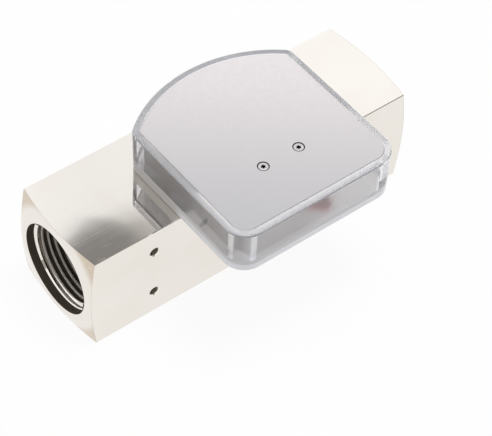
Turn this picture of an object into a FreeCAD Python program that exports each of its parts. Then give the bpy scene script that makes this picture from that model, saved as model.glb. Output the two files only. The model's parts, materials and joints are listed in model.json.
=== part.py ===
import FreeCAD, Part
import math
import os

# Variable area flow meter. A float on a guide rod is lifted along a tapered sleeve by the flow,
# against a spring. A magnet on the float draws a pointer along, through the closed wall of the bar.
# Millimetres. Origin at the centre of the bar's underside, +X along the flow, +Z towards the cover.

# Pipe body: a square bar with a parallel pipe thread in each end
bar_width = 41.0
bar_length = 136.0
bar_edge_break = 0.25
end_flat_diameter = 39.0
end_cone_angle = 13.0
thread_major_diameter = 33.249
thread_pitch = 2.309
thread_flank_angle = 27.5
thread_drill_diameter = 30.8
thread_length = 11.0
pilot_length = 8.0
mouth_clearance = 0.375
mouth_depth = 3.0
bore_diameter = 28.0
shoulder_height = 1.5
ring_land = 3.75
side_hole_diameter = 3.3
side_hole_spacing = 20.5
side_hole_from_end = 26.2
side_hole_depth = 8.0
side_hole_chamfer = 0.35

# Flow parts inside the bore
slip_clearance = 0.05
running_clearance = 0.05
float_travel = 30.0
throat_diameter = 18.6
sleeve_outlet_diameter = 24.0
sleeve_inlet_lead = 6.0
sleeve_outlet_lead = 2.0
head_clearance = 0.35
head_thickness = 3.0
nose_length = 4.0
nose_diameter = 9.0
hub_diameter = 10.0
magnet_length = 6.0
magnet_diameter = 16.0
retainer_thickness = 1.2
retainer_diameter = 15.0
hub_tail = 0.8
rod_diameter = 5.0
rod_thread_diameter = 4.0
bush_wall = 1.05
bush_length = 4.0
float_bore_clearance = 0.5
stop_washer_thickness = 2.0
stop_washer_diameter = 9.0
spider_thickness = 5.0
spider_rim = 2.45
spider_hub_diameter = 10.0
spoke_width = 3.0
spoke_count = 3
retaining_ring_thickness = 1.2
retaining_ring_depth = 0.55
retaining_ring_width = 2.1
retaining_ring_gap = 7.0
nut_across_flats = 7.0
nut_thickness = 3.2
rod_end_proud = 0.8
seal_section = 1.44
seal_groove_width = 2.4
seal_from_inlet = 6.0
spring_wire = 0.8
spring_coil_diameter = 12.8
spring_turns = 10.0

# Display box on top of the bar
display_offset = 1.8
pivot_offset = 31.4
hood_width = 66.6
hood_near_reach = 20.75
hood_arc_radius = 50.4
hood_height = 18.0
hood_near_corner = 8.0
hood_far_corner = 3.5
hood_draft_angle = 1.0
hood_edge_break = 0.4
inner_corner_least = 0.6
floor_thickness = 3.0
rim_width = 2.3
ledge_width = 1.1
plate_thickness = 2.0
plate_gap = 0.15
plate_recess = 0.1
plate_edge_break = 0.2
gasket_thickness = 0.5
cover_screw_spacing = 14.8
cover_screw_offset = 0.8
cover_screw_diameter = 2.0
cover_screw_length = 7.0
cover_head_diameter = 4.3
cover_head_sink = 0.2
cover_hole_clearance = 0.15
cover_drive_radius = 0.9
cover_drive_depth = 0.6
cover_lobe_radius = 0.26
boss_wall = 1.3
insert_wall = 0.75
insert_length = 5.5
insert_groove = 0.3
hood_screw_diameter = 3.0
hood_screw_from_edge = 6.5
hood_screw_wall_gap = 1.0
hood_screw_end_gap = 1.0
hood_screw_floor = 1.5
hood_screw_head_diameter = 5.5
hood_screw_head_height = 2.0
hood_screw_slot_width = 0.8
hood_screw_slot_depth = 1.0
hood_hole_clearance = 0.2
washer_diameter = 6.4
washer_thickness = 0.5

# Pointer, its bearings and its scale
pin_diameter = 2.0
pin_end_play = 0.1
bearing_wall = 0.9
lower_bush_length = 2.6
lower_boss_height = 0.6
lower_boss_wall = 1.6
upper_bush_length = 2.2
upper_bush_seat = 1.2
pointer_hub_diameter = 6.4
pointer_hub_gap = 0.4
arm_thickness = 1.4
arm_clearance = 1.7
arm_root_width = 5.2
arm_tip_width = 1.8
tip_clearance = 1.5
tip_thickness = 0.8
tip_above_floor = 3.0
tail_clearance = 1.45
tail_thickness = 2.0
tail_root_width = 4.0
tail_end_width = 5.0
weight_from_pivot = 10.5
weight_diameter = 5.0
weight_thickness = 3.0
weight_wall = 1.2
follower_radius = 33.0
follower_diameter = 7.0
follower_length = 5.0
follower_wall = 1.1
follower_above_floor = 1.3
scale_clearance = 1.0
scale_thickness = 0.6
scale_end_angle = 4.0
scale_groove_depth = 1.0
scale_below_arm = 0.6

# Cutters reach this far past the faces they open
cut_margin = 1.0

# Whitworth form: thread depth and flat crest as shares of the pitch
thread_depth_share = 0.640327
thread_flat_share = 1.0 / 6.0

Vector = FreeCAD.Vector
FLOW = Vector(1, 0, 0)
UP = Vector(0, 0, 1)

# Places along the bar, worked out from its ends and from the pointer's pivot
axis_z = bar_width / 2
half_length = bar_length / 2
thread_major = thread_major_diameter / 2
thread_minor = thread_major - thread_depth_share * thread_pitch
drill_radius = thread_drill_diameter / 2
mouth_radius = thread_major + mouth_clearance
bore_radius = bore_diameter / 2
shoulder_radius = bore_radius - shoulder_height
end_length = mouth_depth + thread_length + pilot_length
ring_groove_width = retaining_ring_thickness + slip_clearance
ring_groove_radius = bore_radius + retaining_ring_depth + slip_clearance

pivot_x = display_offset
pivot_y = -pivot_offset
magnet_front = pivot_x - float_travel / 2 - magnet_length / 2
magnet_back = magnet_front + magnet_length
head_front = magnet_front - head_thickness
nose_front = head_front - nose_length
retainer_back = magnet_back + retainer_thickness
hub_back = retainer_back + hub_tail
inlet_hub_back = nose_front - stop_washer_thickness
sleeve_inlet = inlet_hub_back
sleeve_taper_start = head_front + sleeve_inlet_lead - head_thickness
sleeve_outlet = magnet_front + float_travel + sleeve_outlet_lead
inlet_spider_front = sleeve_inlet - spider_thickness
inlet_groove_front = inlet_spider_front - ring_groove_width
outlet_groove_back = half_length - end_length - ring_land
outlet_groove_front = outlet_groove_back - ring_groove_width
outlet_seat = outlet_groove_front - spider_thickness

rod_radius = rod_diameter / 2
bush_bore = rod_radius + running_clearance
bush_radius = bush_bore + bush_wall
bush_seat_radius = bush_radius + slip_clearance
hub_radius = hub_diameter / 2
head_radius = throat_diameter / 2 - head_clearance
sleeve_radius = bore_radius - slip_clearance

# Heights in the display box
hood_bottom = bar_width
hood_top = hood_bottom + hood_height
floor_top = hood_bottom + floor_thickness
plate_top = hood_top - plate_recess
plate_bottom = plate_top - plate_thickness
ledge_z = plate_bottom - gasket_thickness
arm_top = plate_bottom - arm_clearance
arm_bottom = arm_top - arm_thickness
scale_top = arm_bottom - scale_below_arm
scale_bottom = floor_top - scale_groove_depth

# Offsets of the nested outlines from the foot of the box, outwards positive
rim_offset = hood_height * math.tan(math.radians(hood_draft_angle))
rebate_offset = rim_offset - rim_width
cavity_offset = rebate_offset - ledge_width
plate_offset = rebate_offset - plate_gap

cover_screw_radius = cover_screw_diameter / 2
insert_bore = cover_screw_radius + slip_clearance
insert_radius = insert_bore + insert_wall
boss_radius = insert_radius + slip_clearance + boss_wall
pin_radius = pin_diameter / 2
bearing_bore = pin_radius + running_clearance
bearing_radius = bearing_bore + bearing_wall
bearing_seat_radius = bearing_radius + slip_clearance
lower_bush_top = floor_top + lower_boss_height
lower_bush_bottom = lower_bush_top - lower_bush_length
upper_bush_top = plate_bottom + upper_bush_seat
upper_bush_bottom = upper_bush_top - upper_bush_length
hood_screw_radius = hood_screw_diameter / 2
hood_hole_depth = axis_z - bore_radius - hood_screw_floor
rest_angle = math.degrees(math.asin(float_travel / 2 / follower_radius))
tip_radius = hood_arc_radius + cavity_offset - tip_clearance
tail_reach = hood_near_reach + cavity_offset - tail_clearance
scale_radius = tip_radius - tip_thickness - scale_clearance
scale_half_angle = rest_angle + scale_end_angle

# The cover screws stand a little beyond the pivot, towards the scale
cover_screw_y = pivot_y + cover_screw_offset
cover_screw_places = [(pivot_x + side * cover_screw_spacing / 2, cover_screw_y) for side in (-1, 1)]

# The screws into the bar stand as far out as their washers allow beside the walls and the scale
washer_room = washer_diameter / 2 + hood_screw_wall_gap
hood_screw_x = hood_width / 2 + cavity_offset - washer_room
hood_screw_near_y = hood_screw_from_edge - bar_width / 2
hood_screw_reach = scale_radius - scale_thickness - washer_room
hood_screw_far_y = pivot_y + math.sqrt(hood_screw_reach**2 - hood_screw_x**2)
hood_screw_places = [
    (pivot_x + side * hood_screw_x, y)
    for side in (-1, 1)
    for y in (hood_screw_near_y, hood_screw_far_y)
]


def along_flow(radius, start, end):
    """Cylinder on the flow axis from start to end."""
    return Part.makeCylinder(radius, end - start, Vector(start, 0, axis_z), FLOW)


def turned_on_flow(profile, height=axis_z):
    """Solid of revolution about the flow axis, or one at another height, from (x, radius) points."""
    points = [Vector(x, radius, height) for x, radius in profile]
    face = Part.Face(Part.makePolygon(points + points[:1]))
    return face.revolve(Vector(0, 0, height), FLOW, 360)


def upright(radius, place, bottom, top):
    """Upright cylinder at an (x, y) place."""
    return Part.makeCylinder(radius, top - bottom, Vector(place[0], place[1], bottom), UP)


def turned_upright(profile, place):
    """Solid of revolution about an upright axis from (radius, z) points."""
    points = [Vector(place[0] + radius, place[1], z) for radius, z in profile]
    face = Part.Face(Part.makePolygon(points + points[:1]))
    return face.revolve(Vector(place[0], place[1], 0), UP, 360)


def ring_upright(outer, inner, place, bottom, top):
    """Upright ring with a round bore."""
    return turned_upright([(inner, bottom), (outer, bottom), (outer, top), (inner, top)], place)


def ring_on_flow(outer, inner, start, end):
    """Ring on the flow axis with a round bore."""
    return turned_on_flow([(start, inner), (start, outer), (end, outer), (end, inner)])


def joined(shapes):
    """One solid from overlapping shapes, with the seams between coplanar faces removed."""
    return shapes[0].multiFuse(shapes[1:]).removeSplitter()


def box_outline(offset, z):
    """Outline of the display box at height z, offset outwards from its foot.

    Three straight sides with rounded near corners, and a far side that is an arc about the pivot.
    """
    half = hood_width / 2 + offset
    near = hood_near_reach + offset
    arc = hood_arc_radius + offset
    near_round = max(hood_near_corner + offset, inner_corner_least)
    far_round = max(hood_far_corner + offset, inner_corner_least)
    far_x = half - far_round
    far_y = math.sqrt((arc - far_round) ** 2 - far_x**2)
    lean = math.atan2(far_y, far_x)
    diagonal = math.sqrt(0.5)

    def point(side, x, y):
        return Vector(pivot_x + side * x, pivot_y + y, z)

    def near_corner(side):
        low = point(side, half - near_round, -near)
        middle = point(side, half - near_round + near_round * diagonal, -near + near_round * (1 - diagonal))
        return low, middle, point(side, half, -near + near_round)

    def far_corner(side):
        middle = point(side, far_x + far_round * math.cos(lean / 2), far_y + far_round * math.sin(lean / 2))
        return point(side, half, far_y), middle, point(side, arc * math.cos(lean), arc * math.sin(lean))

    right_near, right_far = near_corner(1), far_corner(1)
    left_near, left_far = near_corner(-1), far_corner(-1)
    edges = [
        Part.makeLine(left_near[0], right_near[0]),
        Part.Arc(*right_near).toShape(),
        Part.makeLine(right_near[2], right_far[0]),
        Part.Arc(*right_far).toShape(),
        Part.Arc(right_far[2], point(1, 0, arc), left_far[2]).toShape(),
        Part.Arc(*left_far[::-1]).toShape(),
        Part.makeLine(left_far[0], left_near[2]),
        Part.Arc(*left_near[::-1]).toShape(),
    ]
    return Part.Wire(edges)


def box_prism(levels):
    """Solid through the box outlines at the (offset, z) levels, straight between them."""
    wires = [box_outline(offset, z) for offset, z in levels]
    return Part.makeLoft(wires, True, True)


def pivot_strip(inner, outer, half_angle, bottom, top):
    """Curved strip about the pivot, centred on the far side of the box."""
    spread = math.radians(half_angle)

    def point(radius, angle):
        return Vector(pivot_x + radius * math.sin(angle), pivot_y + radius * math.cos(angle), bottom)

    edges = [
        Part.Arc(point(outer, -spread), point(outer, 0), point(outer, spread)).toShape(),
        Part.makeLine(point(outer, spread), point(inner, spread)),
        Part.Arc(point(inner, spread), point(inner, 0), point(inner, -spread)).toShape(),
        Part.makeLine(point(inner, -spread), point(outer, -spread)),
    ]
    return Part.Face(Part.Wire(edges)).extrude(Vector(0, 0, top - bottom))


def thread_groove():
    """Helical groove of the pipe thread about the X axis, from the mouth inwards along +X.

    It is swept along whole turns, one helix for each.
    """
    end = mouth_depth + thread_length - thread_pitch / 2
    turns = math.ceil((end - mouth_depth + thread_pitch / 2) / thread_pitch)
    inset = thread_depth_share * thread_pitch / 10
    root_half = thread_flat_share * thread_pitch / 2
    slope = math.tan(math.radians(thread_flank_angle))
    open_half = root_half + (thread_major - thread_minor + inset) * slope
    inner = thread_minor - inset
    corners = [(inner, -open_half), (thread_major, -root_half), (thread_major, root_half), (inner, open_half)]
    points = [Vector(radius, 0, z) for radius, z in corners]
    profile = Part.makePolygon(points + points[:1])
    edges = []
    for index in range(turns):
        edge = Part.makeHelix(thread_pitch, thread_pitch, thread_minor).Edges[0]
        edge.translate(Vector(0, 0, index * thread_pitch))
        edges.append(edge)
    groove = Part.Wire(edges).makePipeShell([profile], True, True)
    groove.rotate(Vector(0, 0, 0), Vector(0, 1, 0), 90)
    groove.translate(Vector(end - turns * thread_pitch, 0, 0))
    return groove


def end_cutter(side):
    """Mouth, pipe thread and plain pilot of one end of the bar (-1 inlet, 1 outlet)."""
    lead = mouth_radius - drill_radius
    steps = turned_on_flow([
        (-cut_margin, 0),
        (-cut_margin, mouth_radius),
        (mouth_depth, mouth_radius),
        (mouth_depth + lead, drill_radius),
        (mouth_depth + thread_length, drill_radius),
        (mouth_depth + thread_length, thread_minor),
        (end_length, thread_minor),
        (end_length, 0),
    ], 0)
    cutter = steps.fuse(thread_groove())
    if side > 0:
        cutter.rotate(Vector(0, 0, 0), UP, 180)
    cutter.translate(Vector(side * half_length, 0, axis_z))
    return cutter


def make_pipe_body():
    """Square bar with its stepped bore, pipe threads and fixing holes."""
    corner = Vector(-half_length, -bar_width / 2, 0)
    bar = Part.makeBox(bar_length, bar_width, bar_width, corner)
    long_edges = [edge for edge in bar.Edges if edge.BoundBox.XLength > bar_length / 2]
    bar = bar.makeChamfer(bar_edge_break, long_edges)
    end_flat = end_flat_diameter / 2
    cone_depth = (bar_width - end_flat) * math.tan(math.radians(end_cone_angle))
    envelope = turned_on_flow([
        (-half_length, 0),
        (-half_length, end_flat),
        (-half_length + cone_depth, bar_width),
        (half_length - cone_depth, bar_width),
        (half_length, end_flat),
        (half_length, 0),
    ])

    def ring_groove(start):
        return [
            (start, bore_radius),
            (start, ring_groove_radius),
            (start + ring_groove_width, ring_groove_radius),
            (start + ring_groove_width, bore_radius),
        ]

    seat_steps = [
        (sleeve_outlet, bore_radius),
        (sleeve_outlet, shoulder_radius),
        (outlet_seat, shoulder_radius),
        (outlet_seat, bore_radius),
    ]
    bore_end = half_length - end_length + pilot_length / 2
    passage = turned_on_flow(
        [(-bore_end, 0), (-bore_end, bore_radius)]
        + ring_groove(inlet_groove_front)
        + seat_steps
        + ring_groove(outlet_groove_front)
        + [(bore_end, bore_radius), (bore_end, 0)]
    )
    body = bar.common(envelope).cut([passage, end_cutter(-1), end_cutter(1)])
    hole_bottom = bar_width - hood_hole_depth
    holes = [
        upright(hood_screw_radius + slip_clearance, place, hole_bottom, bar_width + cut_margin)
        for place in hood_screw_places
    ]
    into_bar = Vector(0, 1, 0)
    for turn in (-1, 1):
        height = axis_z + turn * side_hole_spacing / 2
        mouth = Vector(side_hole_from_end - half_length, -bar_width / 2, height)
        radius = side_hole_diameter / 2
        holes.append(Part.makeCylinder(radius, side_hole_depth, mouth, into_bar))
        holes.append(Part.makeCone(radius + side_hole_chamfer, radius, side_hole_chamfer, mouth, into_bar))
    return body.cut(holes)


def make_metering_sleeve():
    """Tapered tube that the float works in, with a seal groove round its inlet end."""
    throat = throat_diameter / 2
    seal_start = sleeve_inlet + seal_from_inlet
    groove_radius = bore_radius - seal_section - 2 * slip_clearance
    return turned_on_flow([
        (sleeve_inlet, throat),
        (sleeve_inlet, sleeve_radius),
        (seal_start, sleeve_radius),
        (seal_start, groove_radius),
        (seal_start + seal_groove_width, groove_radius),
        (seal_start + seal_groove_width, sleeve_radius),
        (sleeve_outlet, sleeve_radius),
        (sleeve_outlet, sleeve_outlet_diameter / 2),
        (sleeve_taper_start, throat),
    ])


def make_sleeve_seal():
    """O-ring in the sleeve's groove."""
    section = seal_section / 2
    middle = Vector(sleeve_inlet + seal_from_inlet + seal_groove_width / 2, 0, axis_z)
    return Part.makeTorus(bore_radius - slip_clearance - section, section, middle, FLOW)


def make_spider(start):
    """Spoked guide: a rim in the bore, spokes and a hub bored for the rod's end."""
    end = start + spider_thickness
    rim_inner = sleeve_radius - spider_rim
    hub = along_flow(spider_hub_diameter / 2, start, end)
    pieces = [ring_on_flow(sleeve_radius, rim_inner, start, end), hub]
    for index in range(spoke_count):
        spoke = Part.makeBox(
            spider_thickness, spoke_width, rim_inner + spider_rim / 2, Vector(start, -spoke_width / 2, axis_z)
        )
        spoke.rotate(Vector(start, 0, axis_z), FLOW, index * 360 / spoke_count)
        pieces.append(spoke)
    hole = along_flow(rod_thread_diameter / 2 + slip_clearance, start - cut_margin, end + cut_margin)
    return joined(pieces).cut(hole)


def make_retaining_ring(start):
    """Open internal ring that springs into its groove in the bore."""
    outer = bore_radius + retaining_ring_depth
    ring = ring_on_flow(outer, outer - retaining_ring_width, start, start + retaining_ring_thickness)
    gap_corner = Vector(start - cut_margin, -retaining_ring_gap / 2, axis_z - bore_diameter)
    gap_size = retaining_ring_thickness + 2 * cut_margin
    return ring.cut(Part.makeBox(gap_size, retaining_ring_gap, bore_diameter, gap_corner))


def make_retaining_rings():
    """Both rings, each against its spider."""
    inlet = make_retaining_ring(inlet_spider_front - retaining_ring_thickness)
    outlet = make_retaining_ring(outlet_groove_front)
    return Part.makeCompound([inlet, outlet])


def make_guide_rod():
    """Rod with a thinner threaded end through each spider hub."""
    end_radius = rod_thread_diameter / 2
    reach = spider_thickness + nut_thickness + rod_end_proud
    return turned_on_flow([
        (inlet_hub_back - reach, 0),
        (inlet_hub_back - reach, end_radius),
        (inlet_hub_back, end_radius),
        (inlet_hub_back, rod_radius),
        (outlet_seat, rod_radius),
        (outlet_seat, end_radius),
        (outlet_seat + reach, end_radius),
        (outlet_seat + reach, 0),
    ])


def make_nut(start):
    """Hexagon nut on the rod."""
    corner_radius = nut_across_flats / math.sqrt(3)
    points = []
    for index in range(6):
        angle = math.radians(60 * index)
        height = axis_z + corner_radius * math.sin(angle)
        points.append(Vector(start, corner_radius * math.cos(angle), height))
    block = Part.Face(Part.makePolygon(points + points[:1])).extrude(Vector(nut_thickness, 0, 0))
    hole = along_flow(
        rod_thread_diameter / 2 + slip_clearance, start - cut_margin, start + nut_thickness + cut_margin
    )
    return block.cut(hole)


def make_rod_nuts():
    """The nut outside each spider."""
    inlet = make_nut(inlet_spider_front - nut_thickness)
    outlet = make_nut(outlet_seat + spider_thickness)
    return Part.makeCompound([inlet, outlet])


def make_stop_washer():
    """Soft washer between the inlet hub and the float's nose."""
    return ring_on_flow(stop_washer_diameter / 2, bush_bore, inlet_hub_back, nose_front)


def make_return_spring():
    """Compression spring between the magnet retainer and the outlet spider."""
    wire_radius = spring_wire / 2
    coil_radius = spring_coil_diameter / 2
    length = outlet_seat - retainer_back - spring_wire
    pitch = length / spring_turns
    helix = Part.Wire(Part.makeHelix(pitch, length, coil_radius).Edges)
    tangent = Vector(0, 2 * math.pi * coil_radius, pitch)
    section = Part.Wire(Part.Circle(Vector(coil_radius, 0, 0), tangent, wire_radius).toShape())
    coil = helix.makePipeShell([section], True, True)
    coil.rotate(Vector(0, 0, 0), Vector(0, 1, 0), 90)
    coil.translate(Vector(retainer_back + wire_radius, 0, axis_z))
    return coil


def make_float():
    """Metering head with a conical nose and a hub for the magnet, bored for its two bushes."""
    middle_bore = rod_radius + float_bore_clearance
    return turned_on_flow([
        (nose_front, bush_seat_radius),
        (nose_front, nose_diameter / 2),
        (head_front, head_radius),
        (magnet_front, head_radius),
        (magnet_front, hub_radius),
        (hub_back, hub_radius),
        (hub_back, bush_seat_radius),
        (hub_back - bush_length, bush_seat_radius),
        (hub_back - bush_length, middle_bore),
        (nose_front + bush_length, middle_bore),
        (nose_front + bush_length, bush_seat_radius),
    ])


def make_float_bushes():
    """Guide bushes in both ends of the float, running on the rod."""
    front = ring_on_flow(bush_radius, bush_bore, nose_front, nose_front + bush_length)
    back = ring_on_flow(bush_radius, bush_bore, hub_back - bush_length, hub_back)
    return Part.makeCompound([front, back])


def make_ring_magnet():
    """Ring magnet on the float's hub."""
    return ring_on_flow(magnet_diameter / 2, hub_radius + slip_clearance, magnet_front, magnet_back)


def make_magnet_retainer():
    """Push-on washer behind the magnet, which the spring bears on."""
    return ring_on_flow(retainer_diameter / 2, hub_radius + slip_clearance, magnet_back, retainer_back)


def make_display_hood():
    """Clear box: drafted walls, thick floor, ledge for the cover, bosses and screw holes."""
    edge = hood_edge_break
    draft = math.tan(math.radians(hood_draft_angle))
    shell = box_prism([
        (-edge, hood_bottom),
        (edge * draft, hood_bottom + edge),
        (rim_offset - edge * draft, hood_top - edge),
        (rim_offset - edge, hood_top),
    ])
    cavity = box_prism([(cavity_offset, floor_top), (cavity_offset, hood_top + cut_margin)])
    rebate = box_prism([(rebate_offset, ledge_z), (rebate_offset, hood_top + cut_margin)])
    shell = shell.cut([cavity, rebate])
    foot = floor_top - floor_thickness / 2
    pivot = (pivot_x, pivot_y)
    bosses = [upright(boss_radius, place, foot, plate_bottom) for place in cover_screw_places]
    bosses.append(upright(bearing_seat_radius + lower_boss_wall, pivot, foot, lower_bush_top))
    shell = joined([shell] + bosses)
    insert_seat = insert_radius + slip_clearance
    insert_bottom = plate_bottom - insert_length
    holes = [
        upright(insert_seat, place, insert_bottom, plate_bottom + cut_margin) for place in cover_screw_places
    ]
    shank_end = plate_top - cover_screw_length - cut_margin
    holes += [upright(insert_bore, place, shank_end, plate_bottom) for place in cover_screw_places]
    holes.append(upright(bearing_seat_radius, pivot, lower_bush_bottom, lower_bush_top + cut_margin))
    hole_radius = hood_screw_radius + hood_hole_clearance
    holes += [
        upright(hole_radius, place, hood_bottom - cut_margin, floor_top + cut_margin)
        for place in hood_screw_places
    ]
    inner = scale_radius - scale_thickness - slip_clearance
    outer = scale_radius + slip_clearance
    spread = scale_half_angle + math.degrees(slip_clearance / scale_radius)
    holes.append(pivot_strip(inner, outer, spread, scale_bottom, floor_top + cut_margin))
    return shell.cut(holes)


def make_cover_gasket():
    """Flat seal on the ledge, under the cover's edge."""
    outer = box_prism([(plate_offset, ledge_z), (plate_offset, plate_bottom)])
    inner = box_prism([(cavity_offset, ledge_z - cut_margin), (cavity_offset, plate_bottom + cut_margin)])
    return outer.cut(inner)


def make_cover_plate():
    """Flush cover with two countersunk holes and a blind seat for the upper bush."""
    edge = plate_edge_break
    plate = box_prism([
        (plate_offset, plate_bottom),
        (plate_offset, plate_top - edge),
        (plate_offset - edge, plate_top),
    ])
    hole_radius = cover_screw_radius + cover_hole_clearance
    sink_radius = cover_head_diameter / 2
    sink_bottom = plate_top - (sink_radius - hole_radius)
    cuts = [
        turned_upright([
            (0, plate_bottom - cut_margin),
            (hole_radius, plate_bottom - cut_margin),
            (hole_radius, sink_bottom),
            (sink_radius, plate_top),
            (sink_radius, plate_top + cut_margin),
            (0, plate_top + cut_margin),
        ], place)
        for place in cover_screw_places
    ]
    cuts.append(upright(bearing_seat_radius, (pivot_x, pivot_y), plate_bottom - cut_margin, upper_bush_top))
    return plate.cut(cuts)


def make_cover_screw(place):
    """Countersunk screw with a six-lobe drive, just below the cover's face."""
    head_top = plate_top - cover_head_sink
    head_radius_top = cover_head_diameter / 2 - cover_head_sink - slip_clearance
    cone_bottom = head_top - (head_radius_top - cover_screw_radius)
    end = plate_top - cover_screw_length
    screw = turned_upright([
        (0, end),
        (cover_screw_radius, end),
        (cover_screw_radius, cone_bottom),
        (head_radius_top, head_top),
        (0, head_top),
    ], place)
    lobe_circle = cover_drive_radius - cover_lobe_radius
    drive = [upright(lobe_circle, place, head_top - cover_drive_depth, head_top + cut_margin)]
    for index in range(6):
        angle = math.radians(60 * index)
        centre = (place[0] + lobe_circle * math.cos(angle), place[1] + lobe_circle * math.sin(angle))
        drive.append(upright(cover_lobe_radius, centre, head_top - cover_drive_depth, head_top + cut_margin))
    return screw.cut(joined(drive))


def make_cover_screws():
    """Both cover screws."""
    return Part.makeCompound([make_cover_screw(place) for place in cover_screw_places])


def make_threaded_insert(place):
    """Brass insert with two grooves round it, flush in the top of its boss."""
    bottom = plate_bottom - insert_length
    step = insert_length / 5
    waist = insert_radius - insert_groove
    return turned_upright([
        (insert_bore, bottom),
        (insert_radius, bottom),
        (insert_radius, bottom + step),
        (waist, bottom + step),
        (waist, bottom + 2 * step),
        (insert_radius, bottom + 2 * step),
        (insert_radius, bottom + 3 * step),
        (waist, bottom + 3 * step),
        (waist, bottom + 4 * step),
        (insert_radius, bottom + 4 * step),
        (insert_radius, plate_bottom),
        (insert_bore, plate_bottom),
    ], place)


def make_threaded_inserts():
    """The insert in each boss."""
    return Part.makeCompound([make_threaded_insert(place) for place in cover_screw_places])


def make_hood_screw(place):
    """Cheese-head screw with a cross slot, through the floor into the bar."""
    head_bottom = floor_top + washer_thickness
    head_top = head_bottom + hood_screw_head_height
    end = hood_bottom - hood_hole_depth + hood_screw_end_gap
    screw = joined([
        upright(hood_screw_head_diameter / 2, place, head_bottom, head_top),
        upright(hood_screw_radius, place, end, head_top),
    ])
    slots = []
    for size_x, size_y in (
        (hood_screw_diameter, hood_screw_slot_width),
        (hood_screw_slot_width, hood_screw_diameter),
    ):
        corner = Vector(place[0] - size_x / 2, place[1] - size_y / 2, head_top - hood_screw_slot_depth)
        slots.append(Part.makeBox(size_x, size_y, hood_screw_slot_depth + cut_margin, corner))
    return screw.cut(slots)


def make_hood_screws():
    """All the screws that hold the box on the bar."""
    return Part.makeCompound([make_hood_screw(place) for place in hood_screw_places])


def make_hood_washers():
    """A washer under each of those screws."""
    bore = hood_screw_radius + slip_clearance
    return Part.makeCompound([
        ring_upright(washer_diameter / 2, bore, place, floor_top, floor_top + washer_thickness)
        for place in hood_screw_places
    ])


def make_scale_band():
    """Curved scale strip, standing in its groove in the floor."""
    inner = scale_radius - scale_thickness
    return pivot_strip(inner, scale_radius, scale_half_angle, scale_bottom, scale_top)


def make_lower_bush():
    """Bearing for the pin's foot."""
    return ring_upright(bearing_radius, bearing_bore, (pivot_x, pivot_y), lower_bush_bottom, lower_bush_top)


def make_upper_bush():
    """Bearing for the pin's head, in the cover."""
    return ring_upright(bearing_radius, bearing_bore, (pivot_x, pivot_y), upper_bush_bottom, upper_bush_top)


def at_rest(shape):
    """Turn a shape built with the pointer along +Y about the origin to its place at no flow."""
    shape.rotate(Vector(0, 0, 0), UP, rest_angle)
    shape.translate(Vector(pivot_x, pivot_y, 0))
    return shape


def make_pivot_pin():
    """Pin that turns with the pointer."""
    bottom = lower_bush_bottom + pin_end_play
    return at_rest(upright(pin_radius, (0, 0), bottom, upper_bush_top - pin_end_play))


def flat_bar(root_width, end_width, reach, bottom, thickness):
    """Flat tapered bar from the pivot along Y to the given reach, negative towards the near wall."""
    root = root_width / 2
    end = end_width / 2
    outline = [(-root, 0), (root, 0), (end, reach), (-end, reach)]
    corners = [Vector(x, y, bottom) for x, y in outline]
    return Part.Face(Part.makePolygon(corners + corners[:1])).extrude(Vector(0, 0, thickness))


def make_pointer():
    """Red pointer: tall hub, arm over the scale with a bent tip, cup for the magnet, low tail."""
    tip_bottom = floor_top + tip_above_floor
    tip_corner = Vector(-arm_tip_width / 2, tip_radius - tip_thickness, tip_bottom)
    hub_bottom = lower_bush_top + pointer_hub_gap
    hub_top = upper_bush_bottom - pointer_hub_gap
    follower = (0, follower_radius)
    weight = (0, -weight_from_pivot)
    cup_bottom = floor_top + follower_above_floor
    weight_top = hub_bottom + weight_thickness
    tail = flat_bar(tail_root_width, tail_end_width, -tail_reach - cut_margin, hub_bottom, tail_thickness)
    tail = tail.common(upright(tail_reach, (0, 0), hub_bottom, hub_top))
    pieces = [
        upright(pointer_hub_diameter / 2, (0, 0), hub_bottom, hub_top),
        flat_bar(arm_root_width, arm_tip_width, tip_radius, arm_bottom, arm_thickness),
        tail,
        upright(follower_diameter / 2 + follower_wall, follower, cup_bottom, arm_top),
        upright(weight_diameter / 2 + weight_wall, weight, hub_bottom, weight_top),
        Part.makeBox(arm_tip_width, tip_thickness, arm_top - tip_bottom, tip_corner),
    ]
    pocket_radius = follower_diameter / 2 + slip_clearance
    plug_radius = weight_diameter / 2 + slip_clearance
    holes = [
        upright(pin_radius + slip_clearance, (0, 0), hub_bottom - cut_margin, hub_top + cut_margin),
        upright(pocket_radius, follower, cup_bottom - cut_margin, cup_bottom + follower_length),
        upright(plug_radius, weight, hub_bottom - cut_margin, weight_top + cut_margin),
    ]
    return at_rest(joined(pieces).cut(holes))


def make_follower_magnet():
    """Magnet in the pointer's cup."""
    bottom = floor_top + follower_above_floor
    return at_rest(upright(follower_diameter / 2, (0, follower_radius), bottom, bottom + follower_length))


def make_balance_weight():
    """Brass plug in the pointer's tail."""
    bottom = lower_bush_top + pointer_hub_gap
    return at_rest(upright(weight_diameter / 2, (0, -weight_from_pivot), bottom, bottom + weight_thickness))


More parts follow.
